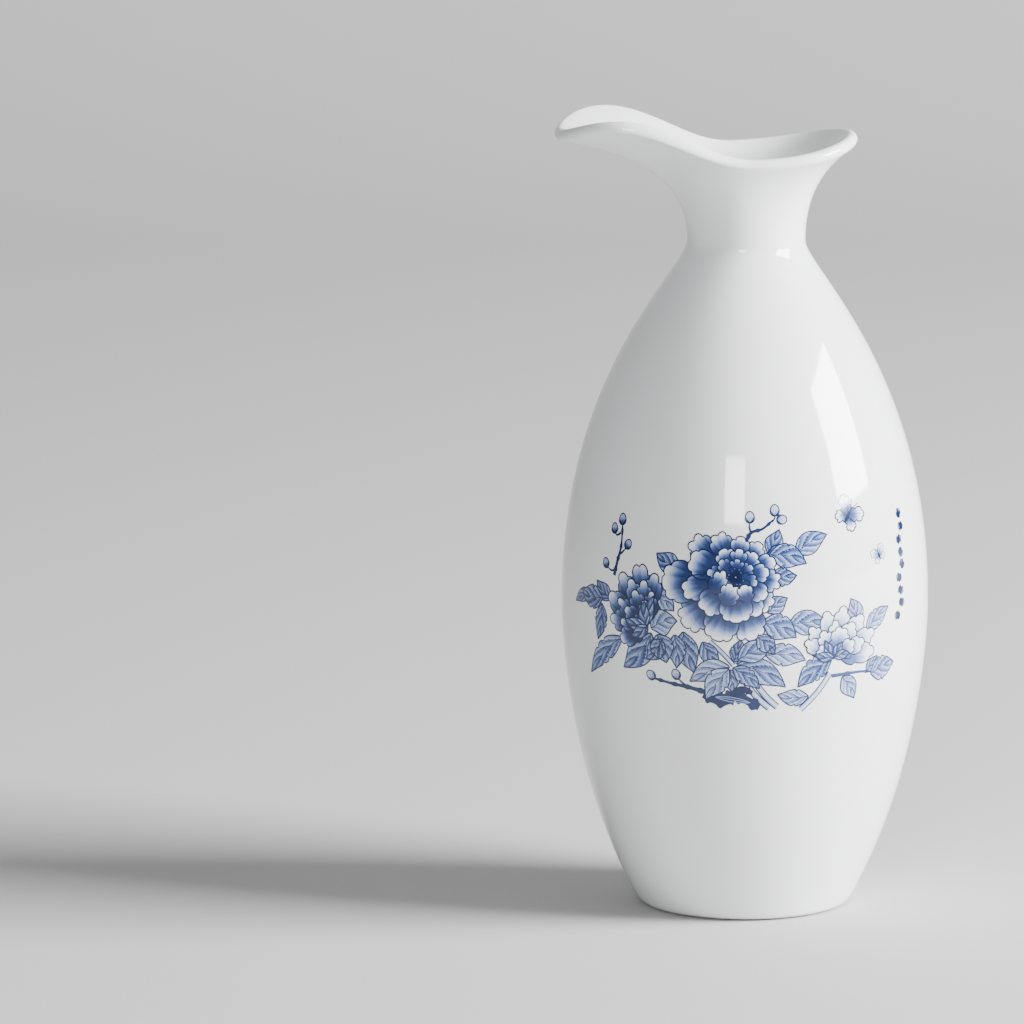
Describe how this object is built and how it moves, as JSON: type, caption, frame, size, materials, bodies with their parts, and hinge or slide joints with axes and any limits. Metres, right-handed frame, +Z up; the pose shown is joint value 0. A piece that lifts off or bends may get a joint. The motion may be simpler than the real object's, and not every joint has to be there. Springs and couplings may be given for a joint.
{
  "type": "sake bottle",
  "caption": "Porcelain sake bottle with an egg-shaped body, a narrow neck, a flared pouring lip and a blue peony spray printed on the belly.",
  "frame": {"origin": "centre of the foot ring, on the table that the bottle stands on", "axes": "+Z up along the axis of the bottle, -X towards the tip of the pouring lip, the printed spray faces about -Y"},
  "size_m": [0.0829, 0.0811, 0.1765],
  "materials": {
    "bare_porcelain": "matte",
    "white_glaze": "gloss",
    "cobalt_print": "gloss",
    "pale_cobalt_print": "gloss"
  },
  "bodies": {
    "root": {"porcelain_body": "bare_porcelain", "glaze_coat": "white_glaze", "base_glaze": "white_glaze", "main_peony_print": "cobalt_print", "left_peony_print": "cobalt_print", "right_peony_print": "pale_cobalt_print", "leaf_print": "cobalt_print", "stem_print": "cobalt_print", "left_bud_print": "cobalt_print", "top_bud_print": "cobalt_print", "low_bud_print": "cobalt_print", "large_butterfly_print": "cobalt_print", "small_butterfly_print": "pale_cobalt_print", "petal_drift_print": "cobalt_print"}
  },
  "joints": []
}
